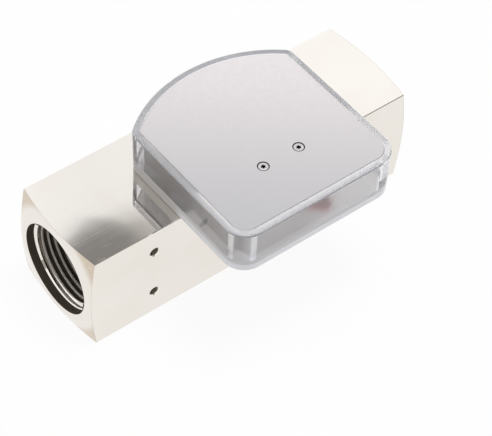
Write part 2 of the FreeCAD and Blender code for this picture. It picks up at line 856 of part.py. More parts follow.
nodes = {
    "pipe_body": make_pipe_body,
    "metering_sleeve": make_metering_sleeve,
    "sleeve_seal": make_sleeve_seal,
    "inlet_spider": lambda: make_spider(inlet_spider_front),
    "outlet_spider": lambda: make_spider(outlet_seat),
    "retaining_rings": make_retaining_rings,
    "guide_rod": make_guide_rod,
    "rod_nuts": make_rod_nuts,
    "stop_washer": make_stop_washer,
    "return_spring": make_return_spring,
    "float": make_float,
    "float_bushes": make_float_bushes,
    "ring_magnet": make_ring_magnet,
    "magnet_retainer": make_magnet_retainer,
    "display_hood": make_display_hood,
    "cover_gasket": make_cover_gasket,
    "cover_plate": make_cover_plate,
    "cover_screws": make_cover_screws,
    "threaded_inserts": make_threaded_inserts,
    "hood_screws": make_hood_screws,
    "hood_washers": make_hood_washers,
    "scale_band": make_scale_band,
    "lower_bush": make_lower_bush,
    "upper_bush": make_upper_bush,
    "pivot_pin": make_pivot_pin,
    "pointer": make_pointer,
    "follower_magnet": make_follower_magnet,
    "balance_weight": make_balance_weight,
}

os.makedirs("parts", exist_ok=True)
for name, make in nodes.items():
    shape = make()
    for solid in shape.Solids:
        if not solid.isValid() or not solid.isClosed():
            raise ValueError(name + " is not a valid closed solid")
    print(name, len(shape.Solids), round(shape.Volume, 2))
    shape.exportStep(os.path.join("parts", name + ".step"))
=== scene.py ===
"""Looks of the flow meter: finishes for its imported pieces, a few finer pieces, and the studio round it."""
import json
import logging
import math
from dataclasses import dataclass
from enum import Enum
from functools import reduce

import bpy
from mathutils import Matrix, Vector


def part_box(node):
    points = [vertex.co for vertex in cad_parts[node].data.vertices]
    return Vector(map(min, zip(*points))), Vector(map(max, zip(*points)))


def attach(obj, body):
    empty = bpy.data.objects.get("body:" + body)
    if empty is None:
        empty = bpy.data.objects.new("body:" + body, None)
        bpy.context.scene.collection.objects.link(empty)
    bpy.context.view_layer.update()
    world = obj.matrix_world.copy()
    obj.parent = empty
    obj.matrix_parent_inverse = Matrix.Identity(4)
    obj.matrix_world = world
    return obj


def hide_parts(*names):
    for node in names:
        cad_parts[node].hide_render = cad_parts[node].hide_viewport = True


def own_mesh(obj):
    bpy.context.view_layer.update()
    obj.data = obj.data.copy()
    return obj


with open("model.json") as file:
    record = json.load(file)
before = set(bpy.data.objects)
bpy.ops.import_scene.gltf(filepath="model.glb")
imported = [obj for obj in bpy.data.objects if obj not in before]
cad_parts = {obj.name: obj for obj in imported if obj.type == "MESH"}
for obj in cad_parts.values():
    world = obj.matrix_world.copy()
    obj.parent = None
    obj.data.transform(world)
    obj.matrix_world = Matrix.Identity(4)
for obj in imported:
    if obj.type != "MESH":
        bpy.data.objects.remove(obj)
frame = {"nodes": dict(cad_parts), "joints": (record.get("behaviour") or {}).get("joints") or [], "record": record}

LOG = logging.getLogger("flow_meter")
MM = 0.001
JOINTS = {joint["name"]: joint for joint in frame["joints"]}
MOUNTS = {mount["name"]: mount for mount in frame["record"]["mounts"]}
PIVOT = Vector(JOINTS["pointer_swing"]["pos_m"])
CLOUD_RANGE = (0.3, 0.7)
FINE_DETAIL = 4.0
SOFT_DETAIL = 2.0
NO_DETAIL = 0.0
WHITE = (1.0, 1.0, 1.0)
WHOLE = (1.0, 1.0, 1.0)
LEVEL = (1.0, 1.0, 0.0)
ACROSS_FLOW = (0.0, 1.0, 1.0)

Pair = tuple[float, float]
Triple = tuple[float, float, float]
Socket = bpy.types.NodeSocket
Piece = bpy.types.Object
Material = bpy.types.Material


class Grain(Enum):
    """Marks that the making of a piece leaves on its surface."""

    TURNED = "rings about the flow axis"
    BLASTED = "even fine pits"


class HoodZone(Enum):
    """Zones of the clear hood: name of the finish, how clear it is, and how much painted shade greys it upwards
    and over the bar.
    """

    WALL = ("clear_shell", 1.0, 0.0)
    RIM = ("milled_rim", 0.66, 0.0)
    FLOOR_EDGE = ("milled_floor_edge", 0.12, 1.0)


class Wiring:
    """Node tree that is wired up step by step."""

    COLOURS_IN = (0, 6, 7)
    COLOUR_OUT = 2
    NUMBERS_IN = (0, 2, 3)

    def __init__(self, tree: bpy.types.NodeTree) -> None:
        """Take a tree to wire up."""
        self.tree = tree

    def feed(self, source: object, target: Socket) -> None:
        """Link a socket to a target, or set the target to a plain value.

        Args:
            source: Socket, number, place or colour.
            target: Input that takes it.
        """
        if isinstance(source, Socket):
            self.tree.links.new(source, target)
        elif isinstance(source, tuple) and len(source) == 3 and target.type == "RGBA":
            target.default_value = (*source, 1.0)
        else:
            target.default_value = source

    def node(self, kind: str, *sources: object, **settings: object) -> bpy.types.Node:
        """Add a node.

        Args:
            kind: Node type without its Shader prefix.
            sources: What its first inputs take, in their order.
            settings: Values of the node's own fields.

        Returns:
            The new node.
        """
        made = self.tree.nodes.new("ShaderNode" + kind)
        for name, value in settings.items():
            setattr(made, name, value)
        for source, target in zip(sources, made.inputs):
            self.feed(source, target)
        return made

    def math(self, operation: str, first: object, second: object = 0.0) -> Socket:
        """Work out one number from two."""
        return self.node("Math", first, second, operation=operation).outputs[0]

    def less(self, first: object, second: object) -> Socket:
        """First number less the second."""
        return self.math("SUBTRACT", first, second)

    def product(self, *shares: object) -> Socket:
        """Product of some numbers."""
        return reduce(lambda so_far, share: self.math("MULTIPLY", so_far, share), shares)

    def step(self, value: object, low: float, high: float, start: float = 0.0, end: float = 1.0) -> Socket:
        """Soft step of a number, from start at low to end at high."""
        limits = (value, low, high, start, end)
        return self.node("MapRange", *limits, interpolation_type="SMOOTHSTEP").outputs[0]

    def fall(self, value: object, low: float, high: float) -> Socket:
        """Soft step of a number, from 1 at low down to 0 at high."""
        return self.step(value, low, high, 1.0, 0.0)

    def length(self, vector: Socket) -> Socket:
        """Length of a vector."""
        return self.node("VectorMath", vector, operation="LENGTH").outputs["Value"]

    def dot(self, first: object, second: object) -> Socket:
        """Scalar product of two vectors."""
        return self.node("VectorMath", first, second, operation="DOT_PRODUCT").outputs["Value"]

    def flat(self, first: object, second: object) -> Socket:
        """Flat vector from two numbers."""
        return self.node("CombineXYZ", first, second).outputs[0]

    def mixer(self, kind: str, places: tuple[int, ...], *sources: object) -> bpy.types.Node:
        """Add a node that blends two values.

        Args:
            kind: Type of the values.
            places: Inputs that take the sources.
            sources: Factor, first value and second value.

        Returns:
            The new node.
        """
        made = self.node("Mix", data_type=kind)
        for source, place in zip(sources, places):
            self.feed(source, made.inputs[place])
        return made

    def mix(self, factor: object, first: object, second: object) -> Socket:
        """Blend two colours, from the first at factor 0 to the second at 1."""
        return self.mixer("RGBA", self.COLOURS_IN, factor, first, second).outputs[self.COLOUR_OUT]

    def blend(self, factor: object, first: object, second: object) -> Socket:
        """Blend two numbers, from the first at factor 0 to the second at 1."""
        return self.mixer("FLOAT", self.NUMBERS_IN, factor, first, second).outputs[0]

    def shaded(self, factor: object, first: Socket, second: Socket) -> Socket:
        """Blend two shaders."""
        return self.node("MixShader", factor, first, second).outputs[0]


class Recipe(Wiring):
    """Material built step by step round a Principled shader."""

    def __init__(self, name: str) -> None:
        """Start a material.

        Args:
            name: Name of the material.
        """
        self.material = bpy.data.materials.new(name)
        self.material.use_nodes = True
        super().__init__(self.material.node_tree)
        self.shader = self.tree.nodes["Principled BSDF"]
        self.place = self.node("TexCoord").outputs["Object"]
        self.normal: Socket | None = None

    def stretched(self, shift: Triple, scale: Triple) -> Socket:
        """Place on the object, seen from a shifted origin and then scaled along each axis."""
        moved = self.node("VectorMath", self.place, shift, operation="SUBTRACT")
        return self.node("VectorMath", moved.outputs[0], scale, operation="MULTIPLY").outputs[0]

    def coordinates(self, origin: Triple = (0.0, 0.0, 0.0)) -> list[Socket]:
        """The three coordinates of the place on the object, seen from an origin."""
        return list(self.node("SeparateXYZ", self.stretched(origin, WHOLE)).outputs)

    def from_axes(self, places: tuple[Triple, ...]) -> Socket:
        """Distance from the nearest of some upright axes, each given by a point on it."""
        reaches = [self.length(self.stretched(place, LEVEL)) for place in places]
        return reduce(lambda nearest, reach: self.math("MINIMUM", nearest, reach), reaches)

    def from_flow_axis(self, height: float) -> Socket:
        """Distance from the axis of the flow, which lies at a height."""
        return self.length(self.stretched((0.0, 0.0, height), ACROSS_FLOW))

    def noise(self, scale: float, detail: float = 3.0, stretch: Triple = WHOLE,
              vector: Socket | None = None) -> Socket:
        """Cloudy noise over the object.

        Args:
            scale: Clouds per metre.
            detail: Octaves of finer clouds.
            stretch: Scale along each axis before the noise.
            vector: Place to read instead of the object's own.

        Returns:
            Socket from 0 to 1.
        """
        made = self.node("TexNoise", vector or self.stretched((0.0, 0.0, 0.0), stretch))
        self.feed(scale, made.inputs["Scale"])
        self.feed(detail, made.inputs["Detail"])
        return made.outputs[0]

    def relief(self, height: Socket, depth: float) -> None:
        """Lay one more relief over the surface.

        Args:
            height: Socket from 0 to 1.
            depth: Depth of the relief in metres.
        """
        made = self.node("Bump")
        self.feed(depth, made.inputs["Distance"])
        self.feed(height, made.inputs["Height"])
        if self.normal is not None:
            self.feed(self.normal, made.inputs["Normal"])
        self.normal = made.outputs[0]

    def done(self, **values: object) -> Material:
        """Close the recipe with its relief and what the shader's own sockets take.

        Args:
            values: Sockets or plain values by socket name, with underscores for spaces.

        Returns:
            The finished material.
        """
        if self.normal is not None:
            values["Normal"] = self.normal
        for name, value in values.items():
            self.feed(value, self.shader.inputs[name.replace("_", " ")])
        return self.material


@dataclass(frozen=True)
class MetalFinish:
    """Bare or plated metal with its machining marks."""

    name: str
    light: Triple
    dark: Triple
    smooth: float
    rough: float
    grain: Grain
    marks_per_metre: float = 3000.0
    mark_depth: float = 1.5e-6
    cloud_scale: float = 140.0
    rough_range: Pair = (0.12, 0.4)
    axis_height: float = 20.5 * MM

    def marks(self, recipe: Recipe) -> Socket:
        """Height of the machining marks.

        Args:
            recipe: Recipe to add to.

        Returns:
            Socket from 0 to 1.
        """
        if self.grain is Grain.TURNED:
            rings = recipe.flat(recipe.coordinates()[0], recipe.from_flow_axis(self.axis_height))
            return recipe.noise(self.marks_per_metre, SOFT_DETAIL, vector=rings)
        return recipe.noise(self.marks_per_metre, FINE_DETAIL)

    def laid_over(self, recipe: Recipe, colour: Socket) -> Socket:
        """Colour with local marks laid over it; plain metal has none."""
        return colour

    def material(self) -> Material:
        """Build the finish.

        Returns:
            The material.
        """
        recipe = Recipe(self.name)
        clouds = recipe.noise(self.cloud_scale, FINE_DETAIL)
        marks = self.marks(recipe)
        recipe.relief(marks, self.mark_depth)
        colour = recipe.mix(recipe.step(clouds, *CLOUD_RANGE), self.dark, self.light)
        roughness = recipe.step(recipe.product(clouds, marks), *self.rough_range, self.smooth, self.rough)
        return recipe.done(Base_Color=self.laid_over(recipe, colour), Roughness=roughness, Metallic=1.0)


@dataclass(frozen=True)
class ScrewFinish(MetalFinish):
    """Screw metal, with painted shade inside the drive and round the edge of the head."""

    places: tuple[Triple, ...] = ()
    # Radii and depths where painted shade darkens the rim of each head and its drive.
    head_shade_from_to: Pair = (0.0, 0.0)
    drive_shade_from_to: Pair = (-0.12 * MM, -0.06 * MM)
    drive_painted_shade: Triple = (0.03, 0.03, 0.03)

    def laid_over(self, recipe: Recipe, colour: Socket) -> Socket:
        """Colour with painted shade in the drive and round the edge of the head laid over it.

        Args:
            recipe: Recipe to add to.
            colour: Colour of the head.

        Returns:
            Colour socket.
        """
        # Painted shade: dark down in the drive and in a ring round the edge of the head.
        height = recipe.less(recipe.coordinates()[2], self.places[0][2])
        deep_shade = recipe.fall(height, *self.drive_shade_from_to)
        edge = recipe.step(recipe.from_axes(self.places), *self.head_shade_from_to)
        return recipe.mix(recipe.math("MAXIMUM", deep_shade, edge), colour, self.drive_painted_shade)


@dataclass(frozen=True)
class CoverFinish(MetalFinish):
    """Satin cover with painted sheen fading to painted shade towards its near edge, and painted shade in its
    countersinks and on its underside.
    """

    top: float = 0.0
    underside: float = 0.0
    sinks: tuple[Triple, ...] = ()
    sink_radius: float = 0.0
    sink_blend: float = 0.05 * MM
    sink_from_to: Pair = (-0.05 * MM, -0.02 * MM)
    underside_shade_from_to: Pair = (0.1 * MM, 0.2 * MM)
    painted_sheen_side: Triple = (0.0, 0.0, 0.0)
    painted_shade_side: Triple = (0.0, 0.0, 0.0)
    # Colour of the painted shade towards the near edge.
    dull: Triple = (0.52, 0.51, 0.515)
    # Colour of the painted shade on the underside.
    underside_shade: Triple = (0.30, 0.30, 0.30)
    # Colour of the painted shade in the countersinks.
    painted_gap_shade: Triple = (0.04, 0.04, 0.04)

    def laid_over(self, recipe: Recipe, colour: Socket) -> Socket:
        """Colour with painted sheen and shade across the top, and painted shade on the underside and in the
        countersinks, laid over it.

        Args:
            recipe: Recipe to add to.
            colour: Colour at the painted sheen end.

        Returns:
            Colour socket.
        """
        # Painted sheen and shade: lighter towards one corner, darker towards the near edge.
        run = Vector(self.painted_shade_side) - Vector(self.painted_sheen_side)
        along = recipe.dot(recipe.stretched(self.painted_sheen_side, WHOLE), tuple(run / run.length_squared))
        colour = recipe.mix(recipe.step(along, 0.0, 1.0), colour, self.dull)
        height = recipe.coordinates()[2]
        # Painted shade: the underside is darkened.
        below = recipe.fall(recipe.less(height, self.underside), *self.underside_shade_from_to)
        colour = recipe.mix(below, colour, self.underside_shade)
        # Painted shade in the countersinks, round each screw head.
        deep_shade = recipe.fall(recipe.less(height, self.top), *self.sink_from_to)
        reach = recipe.less(recipe.from_axes(self.sinks), self.sink_radius)
        near = recipe.fall(reach, 0.0, self.sink_blend)
        return recipe.mix(recipe.product(near, deep_shade), colour, self.painted_gap_shade)


@dataclass(frozen=True)
class PlatedBarFinish:
    """Polished nickel on the bar, with painted shade inside its threads, mouths and tapped holes, and painted
    reflections at its cone corners and edges.
    """

    axis_height: float
    half_length: float
    hole_place: Triple
    hole_spacing: float
    hole_radius: float
    hole_depth: float = 8.0 * MM
    mouth_radius: float = 17.0 * MM
    mouth_depth: float = 3.0 * MM
    crest_radius: float = 15.4 * MM
    thread_end: float = 14.0 * MM
    cone_radius: float = 19.5 * MM
    cone_angle_deg: float = 13.0
    name: str = "polished_nickel"
    bright: Triple = (0.84, 0.80, 0.745)
    warm: Triple = (0.82, 0.775, 0.715)
    # Colours of the painted shade in the bore's grooves, depth and mouth.
    thread_shade: Triple = (0.13, 0.105, 0.08)
    mouth_shade: Triple = (0.11, 0.09, 0.068)
    # Colour of the painted shade in the tapped holes.
    hole_shade: Triple = (0.50, 0.45, 0.38)
    # Colour of the painted reflection on the outer corners of the end cones.
    corner_reflection_tint: Triple = (0.64, 0.55, 0.44)
    # Colour of the painted dark reflection line along the cone edges.
    cone_edge_reflection: Triple = (0.60, 0.56, 0.50)
    reflection_from_to: Pair = (21.5 * MM, 25.0 * MM)
    polish: float = 0.035
    wear_and_reflection: float = 0.05
    bore_rough: float = 0.65
    scratch_rough: float = 0.15
    bore_edge: float = 0.04 * MM
    hole_edge: float = 0.06 * MM
    cone_edge: float = 0.02 * MM
    cloud_scale: float = 38.0
    cloud_range: Pair = (0.35, 0.65)
    line_scale: float = 2600.0
    line_stretch: Triple = (0.015, 1.0, 1.0)
    line_range: Pair = (0.3, 0.8)
    line_depth: float = 0.12e-6
    wave_scale: float = 34.0
    wave_depth: float = 0.03 * MM
    scratch_scale: float = 150.0
    scratch_stretch: Triple = (0.25, 1.0, 0.6)
    scratch_width: float = 0.004
    patch_scale: float = 240.0
    patch_range: Pair = (0.60, 0.68)

    def hairlines(self, recipe: Recipe) -> Socket:
        """Sparse curved hairline scratches.

        Args:
            recipe: Recipe to add to.

        Returns:
            Socket that is 1 on a scratch.
        """
        bends = recipe.less(recipe.noise(self.scratch_scale, NO_DETAIL, self.scratch_stretch), 0.5)
        line = recipe.fall(recipe.math("ABSOLUTE", bends), 0.0, self.scratch_width)
        patches = recipe.step(recipe.noise(self.patch_scale, NO_DETAIL), *self.patch_range)
        return recipe.product(line, patches)

    def depth(self, recipe: Recipe) -> Socket:
        """Depth below the nearer end of the bar."""
        return recipe.less(self.half_length, recipe.math("ABSOLUTE", recipe.coordinates()[0]))

    def bored(self, recipe: Recipe, plain: Socket, polished: Socket) -> tuple[Socket, Socket]:
        """Colour and roughness with the dull bore, its grooves, depth and mouth in painted shade, laid over the
        plain finish.

        Args:
            recipe: Recipe to add to.
            plain: Colour of the outside.
            polished: Roughness of the outside.

        Returns:
            Colour socket and roughness socket.
        """
        edge = self.bore_edge
        radius = recipe.from_flow_axis(self.axis_height)
        depth = self.depth(recipe)
        groove = recipe.step(radius, self.crest_radius + edge, self.crest_radius + 5 * edge)
        lead_end = self.mouth_depth + self.mouth_radius - self.crest_radius
        past_thread = recipe.step(depth, self.thread_end - edge, self.thread_end + edge)
        past_lead = recipe.step(depth, lead_end - 3 * edge, lead_end)
        past_mouth = recipe.step(depth, self.mouth_depth - edge, self.mouth_depth + edge)
        within = recipe.fall(radius, self.mouth_radius + edge, self.mouth_radius + 3 * edge)
        # Painted shade: the grooves between the crests, the depth past the thread and the mouth are darkened.
        bore = recipe.mix(groove, self.bright, self.thread_shade)
        bore = recipe.mix(past_thread, bore, self.thread_shade)
        bore = recipe.mix(past_lead, plain, bore)
        bore = recipe.mix(past_mouth, self.mouth_shade, bore)
        dull = recipe.product(within, recipe.less(1.0, recipe.less(past_mouth, past_lead)))
        return recipe.mix(within, plain, bore), recipe.blend(dull, polished, self.bore_rough)

    def holed(self, recipe: Recipe, plain: Socket, polished: Socket) -> tuple[Socket, Socket]:
        """Colour and roughness with the dull tapped holes, in painted shade, laid over the rest.

        Args:
            recipe: Recipe to add to.
            plain: Colour of the rest.
            polished: Roughness of the rest.

        Returns:
            Colour socket and roughness socket.
        """
        edge = self.hole_edge
        x, y, z = recipe.coordinates(self.hole_place)
        from_hole = recipe.less(recipe.math("ABSOLUTE", z), self.hole_spacing / 2)
        reach = recipe.length(recipe.flat(x, from_hole))
        near_axis = recipe.fall(reach, self.hole_radius + edge, self.hole_radius + 2 * edge)
        below = recipe.step(y, edge / 2, 2 * edge)
        above = recipe.fall(y, self.hole_depth + edge, self.hole_depth + 2 * edge)
        inside = recipe.product(near_axis, below, above)
        # Painted shade inside the tapped holes.
        return recipe.mix(inside, plain, self.hole_shade), recipe.blend(inside, polished, self.bore_rough)

    def cornered(self, recipe: Recipe, plain: Socket) -> Socket:
        """Colour with painted reflections laid over it: a warm tint on the outer corners of the end cones and a
        dark line along their edges.

        Args:
            recipe: Recipe to add to.
            plain: Colour of the rest.

        Returns:
            Colour socket.
        """
        edge = self.cone_edge
        radius = recipe.from_flow_axis(self.axis_height)
        depth = self.depth(recipe)
        slope = math.tan(math.radians(self.cone_angle_deg))
        cone = recipe.math("ADD", recipe.math("DIVIDE", depth, slope), self.cone_radius)
        beside = recipe.less(cone, radius)
        on_cone = recipe.fall(beside, edge, 2 * edge)
        # Painted reflection: a warmer, darker tint on the outer corners of the cones.
        wear_and_reflection = recipe.product(on_cone, recipe.step(radius, *self.reflection_from_to))
        # Painted reflection: a thin dark line beside each cone's edge.
        line = recipe.less(recipe.fall(beside, 20 * edge, 40 * edge), on_cone)
        line = recipe.product(line, recipe.step(depth, 2 * edge, 4 * edge))
        return recipe.mix(line, recipe.mix(wear_and_reflection, plain, self.corner_reflection_tint), self.cone_edge_reflection)

    def material(self) -> Material:
        """Build the finish.

        Returns:
            The material.
        """
        recipe = Recipe(self.name)
        clouds = recipe.noise(self.cloud_scale)
        lines = recipe.noise(self.line_scale, stretch=self.line_stretch)
        scratched = recipe.product(self.hairlines(recipe), self.scratch_rough)
        recipe.relief(recipe.noise(self.wave_scale, SOFT_DETAIL), self.wave_depth)
        recipe.relief(lines, self.line_depth)
        plain = recipe.mix(recipe.step(clouds, *self.cloud_range), self.bright, self.warm)
        polished = recipe.step(lines, *self.line_range, self.polish, self.wear_and_reflection)
        polished = recipe.math("ADD", polished, scratched)
        colour, roughness = self.bored(recipe, self.cornered(recipe, plain), polished)
        colour, roughness = self.holed(recipe, colour, roughness)
        return recipe.done(Base_Color=colour, Roughness=roughness, Metallic=1.0)


@dataclass(frozen=True)
class ClearFinish:
    """Clear moulded plastic, glossy outside and dull inside, with painted shade on its skins and a painted glow
    above its floor.
    """

    name: str
    clearness: float
    upper_shade_share: float
    bar_from_to: Pair
    corner_low: Triple
    corner_high: Triple
    pivot: Triple
    ledge: float
    skin: Triple = (0.955, 0.96, 0.99)
    haze: Triple = (0.925, 0.932, 0.98)
    # Colour of the painted shade on the outer skin above the foot.
    upper_shade_tone: Triple = (0.69, 0.685, 0.705)
    # Colour of the painted shade on the side where it stands over the bar.
    bar_shade_tone: Triple = (0.50, 0.485, 0.48)
    # Colours of the painted shade on the inner skin: near and far end of the side wall, start and end of the run
    # across.
    inner_near_shade: Triple = (0.26, 0.255, 0.25)
    inner_side_shade: Triple = (0.13, 0.127, 0.123)
    inner_shade_start: Triple = (0.53, 0.53, 0.54)
    inner_shade_end: Triple = (0.99, 0.99, 1.0)
    refraction: float = 1.49
    smooth: float = 0.01
    rough: float = 0.05
    frost: float = 0.45
    foot_frost: float = 0.35
    rim_frost: float = 0.30
    cloud_scale: float = 90.0
    haze_range: Pair = (0.35, 0.7)
    rough_range: Pair = (0.3, 0.75)
    wave_scale: float = 120.0
    wave_depth: float = 0.006 * MM
    face_from_to: Pair = (0.03 * MM, 0.06 * MM)
    foot_from_to: Pair = (0.1 * MM, 0.2 * MM)
    ledge_from_to: Pair = (-0.3 * MM, 0.0)
    skin_from_to: Pair = (1.2 * MM, 1.3 * MM)
    window_from_to: Pair = (4.2 * MM, 4.7 * MM)
    corner_radius: float = 8.3 * MM
    fade_from: float = 24.0 * MM
    fade_to: float = 14.0 * MM
    clear_end: float = 6.0 * MM
    end_blend: float = 0.5 * MM
    # Strength and heights of the painted glow on the inner skin above the floor.
    floor_glow: float = 0.55
    glow_from_to: Pair = (4.6 * MM, 6.6 * MM)
    side_glow_rise: float = 2.6 * MM
    side_blend: float = 2.8 * MM
    tone_from_to: Pair = (2.8 * MM, 3.3 * MM)
    streak_place: float = 7.6 * MM
    streak_from_to: Pair = (0.4 * MM, 1.2 * MM)

    def inner_skin(self, recipe: Recipe) -> Socket:
        """Share of the cavity's dull skin, which is frosted and carries painted shade, with clear streaks at its
        corners and a clear reading window.

        Args:
            recipe: Recipe to add to.

        Returns:
            Socket that is 1 on the inner skin.
        """
        x, y, z = recipe.coordinates()
        middle = (self.corner_low[0] + self.corner_high[0]) / 2
        half = self.corner_high[0] - middle
        arc = self.corner_high[1] - self.pivot[1]
        far_end = self.pivot[1] + math.sqrt(arc**2 - half**2) - self.clear_end
        from_side = recipe.less(half, recipe.math("ABSOLUTE", recipe.less(x, middle)))
        from_front = recipe.less(y, self.corner_low[1])
        from_arc = recipe.less(arc, recipe.from_axes((self.pivot,)))
        reaches = (from_side, from_front)
        beyond = [recipe.math("MAXIMUM", recipe.less(self.corner_radius, reach), 0.0) for reach in reaches]
        depth = recipe.less(self.corner_radius, recipe.length(recipe.flat(*beyond)))
        from_streak = recipe.less(recipe.math("MAXIMUM", from_side, from_front), self.streak_place)
        past_end = recipe.step(y, far_end, far_end + self.end_blend)
        side_end = recipe.product(past_end, recipe.fall(from_side, *self.window_from_to))
        return recipe.product(
            recipe.step(depth, *self.skin_from_to),
            recipe.step(from_arc, *self.window_from_to),
            recipe.step(recipe.math("ABSOLUTE", from_streak), *self.streak_from_to),
            recipe.less(1.0, side_end),
            recipe.fall(recipe.less(z, self.ledge), *self.ledge_from_to),
            recipe.step(recipe.less(z, self.corner_low[2]), *self.foot_from_to),
        )

    def frosted(self, recipe: Recipe, outside: Socket, inner: Socket) -> Socket:
        """Roughness with the dull inner skin, the milled rim and the foot laid over the glossy outside.

        Args:
            recipe: Recipe to add to.
            outside: Roughness of the outside.
            inner: Share of the inner skin.

        Returns:
            Roughness socket.
        """
        height = recipe.coordinates()[2]
        under = recipe.fall(recipe.less(height, self.corner_low[2]), *self.face_from_to)
        over = recipe.fall(recipe.less(self.corner_high[2], height), *self.face_from_to)
        roughness = recipe.blend(inner, outside, self.frost)
        roughness = recipe.blend(under, roughness, self.foot_frost)
        return recipe.blend(over, roughness, self.rim_frost)

    def tones(self, recipe: Recipe, clouds: Socket) -> tuple[Socket, Socket]:
        """Colours of the two skins, with painted shade along the walls and over the bar, and a painted glow above
        the floor.

        Args:
            recipe: Recipe to add to.
            clouds: Noise that shifts the outer colour.

        Returns:
            Colour of the outer skin and colour of the inner skin.
        """
        x, y, z = recipe.coordinates()
        height = recipe.less(z, self.corner_low[2])
        side = self.corner_low[0] + self.window_from_to[0]
        on_side = recipe.fall(x, side, side + self.side_blend)
        across = recipe.step(x, self.corner_low[0] + self.fade_from, self.corner_high[0] - self.fade_to)
        along = recipe.step(y, self.corner_low[1], self.pivot[1])
        # Painted shade: the inner skin darkens towards one end and, more, along the side wall.
        inner = recipe.mix(across, self.inner_shade_start, self.inner_shade_end)
        inner = recipe.mix(on_side, inner, recipe.mix(along, self.inner_near_shade, self.inner_side_shade))
        glow_height = recipe.less(height, recipe.product(on_side, self.side_glow_rise))
        # Painted light: the inner skin brightens just above the floor.
        glow = recipe.step(glow_height, *self.glow_from_to, self.floor_glow, 0.0)
        inner = recipe.mix(glow, inner, self.inner_shade_end)
        outer = recipe.mix(recipe.step(clouds, *self.haze_range), self.skin, self.haze)
        # Painted shade: the outer skin greys above the foot.
        upper = recipe.step(height, *self.tone_from_to, 0.0, self.upper_shade_share)
        outer = recipe.mix(upper, outer, self.upper_shade_tone)
        # Painted shade on the side wall where it stands over the bar.
        over_bar = recipe.step(y, *self.bar_from_to, 0.0, self.upper_shade_share)
        return recipe.mix(recipe.product(over_bar, on_side), outer, self.bar_shade_tone), inner

    def material(self) -> Material:
        """Build the finish.

        Returns:
            The material.
        """
        recipe = Recipe(self.name)
        clouds = recipe.noise(self.cloud_scale)
        recipe.relief(recipe.noise(self.wave_scale, SOFT_DETAIL), self.wave_depth)
        within = self.inner_skin(recipe)
        outer, inner = self.tones(recipe, clouds)
        roughness = recipe.step(clouds, *self.rough_range, self.smooth, self.rough)
        return recipe.done(
            Base_Color=recipe.mix(within, outer, inner),
            Roughness=self.frosted(recipe, roughness, within),
            Transmission_Weight=self.clearness,
            IOR=self.refraction,
        )


@dataclass(frozen=True)
class PlasticFinish:
    """Opaque plastic, rubber or print with a fine skin."""

    name: str
    light: Triple
    dark: Triple
    smooth: float
    rough: float
    cloud_scale: float = 260.0
    skin_per_metre: float = 1800.0
    skin_depth: float = 3.0e-6

    def material(self) -> Material:
        """Build the finish.

        Returns:
            The material.
        """
        recipe = Recipe(self.name)
        clouds = recipe.noise(self.cloud_scale, FINE_DETAIL)
        skin = recipe.noise(self.skin_per_metre)
        recipe.relief(skin, self.skin_depth)
        colour = recipe.mix(recipe.step(clouds, *CLOUD_RANGE), self.dark, self.light)
        roughness = recipe.step(skin, *CLOUD_RANGE, self.smooth, self.rough)
        return recipe.done(Base_Color=colour, Roughness=roughness)


Finish = MetalFinish | PlatedBarFinish | PlasticFinish

TURNED_BRASS = MetalFinish("turned_brass", (0.80, 0.62, 0.34), (0.66, 0.48, 0.24), 0.18, 0.34, Grain.TURNED)
GROUND_STEEL = MetalFinish("ground_steel", (0.74, 0.74, 0.73), (0.60, 0.60, 0.60), 0.14, 0.28, Grain.TURNED)
ZINC_PLATE = MetalFinish("zinc_plate", (0.74, 0.77, 0.80), (0.58, 0.62, 0.66), 0.22, 0.40, Grain.BLASTED)
SPRING_STEEL = MetalFinish("spring_steel", (0.46, 0.45, 0.44), (0.3, 0.29, 0.28), 0.22, 0.36, Grain.BLASTED)
MAGNET_SKIN = MetalFinish("magnet_skin", (0.50, 0.50, 0.52), (0.36, 0.36, 0.38), 0.18, 0.30, Grain.BLASTED)
WHITE_BUSH = PlasticFinish("white_bush", (0.82, 0.81, 0.78), (0.74, 0.73, 0.70), 0.30, 0.45)
SCALE_WHITE = PlasticFinish("scale_white", (0.86, 0.86, 0.85), (0.80, 0.80, 0.79), 0.35, 0.50)
POINTER_RED = PlasticFinish("pointer_red", (0.88, 0.17, 0.17), (0.78, 0.12, 0.12), 0.28, 0.42)
SEAL_BLACK = PlasticFinish("seal_black", (0.035, 0.035, 0.036), (0.02, 0.02, 0.021), 0.45, 0.65)
GASKET_GREY = PlasticFinish("gasket_grey", (0.30, 0.30, 0.31), (0.22, 0.22, 0.23), 0.45, 0.60)
PRINT_BLACK = PlasticFinish("print_black", (0.03, 0.03, 0.032), (0.02, 0.02, 0.02), 0.40, 0.55)


def take(piece: Piece, *others: Piece) -> None:
    """Select some pieces alone and make the first one active.

    Args:
        piece: The first piece.
        others: The other pieces.
    """
    bpy.ops.object.select_all(action="DESELECT")
    for chosen in (piece, *others):
        chosen.select_set(True)
    bpy.context.view_layer.objects.active = piece


def named(name: str) -> Piece:
    """Name the active piece and its mesh.

    Args:
        name: Name for both.

    Returns:
        The piece.
    """
    piece = bpy.context.object
    piece.name = name
    piece.data.name = name
    return piece


def joined(pieces: list[Piece], name: str) -> Piece:
    """Join pieces into one.

    Args:
        pieces: Pieces to join.
        name: Name of the whole.

    Returns:
        The joined piece.
    """
    take(*pieces)
    bpy.ops.object.join()
    return named(name)


def dress(finishes: dict[Finish, tuple[str, ...]]) -> None:
    """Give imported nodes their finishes.

    Args:
        finishes: The nodes that share each finish.
    """
    for finish, nodes in finishes.items():
        material = finish.material()
        for node in nodes:
            for slot in frame["nodes"][node].material_slots:
                slot.material = material
            LOG.info("dressed %s in %s", node, material.name)


def hand_over(piece: Piece, body: str) -> None:
    """Hand over a new piece to the body it rides on.

    Args:
        piece: The piece.
        body: Body that carries it.
    """
    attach(piece, body)
    LOG.info("made %s on %s", piece.name, body)


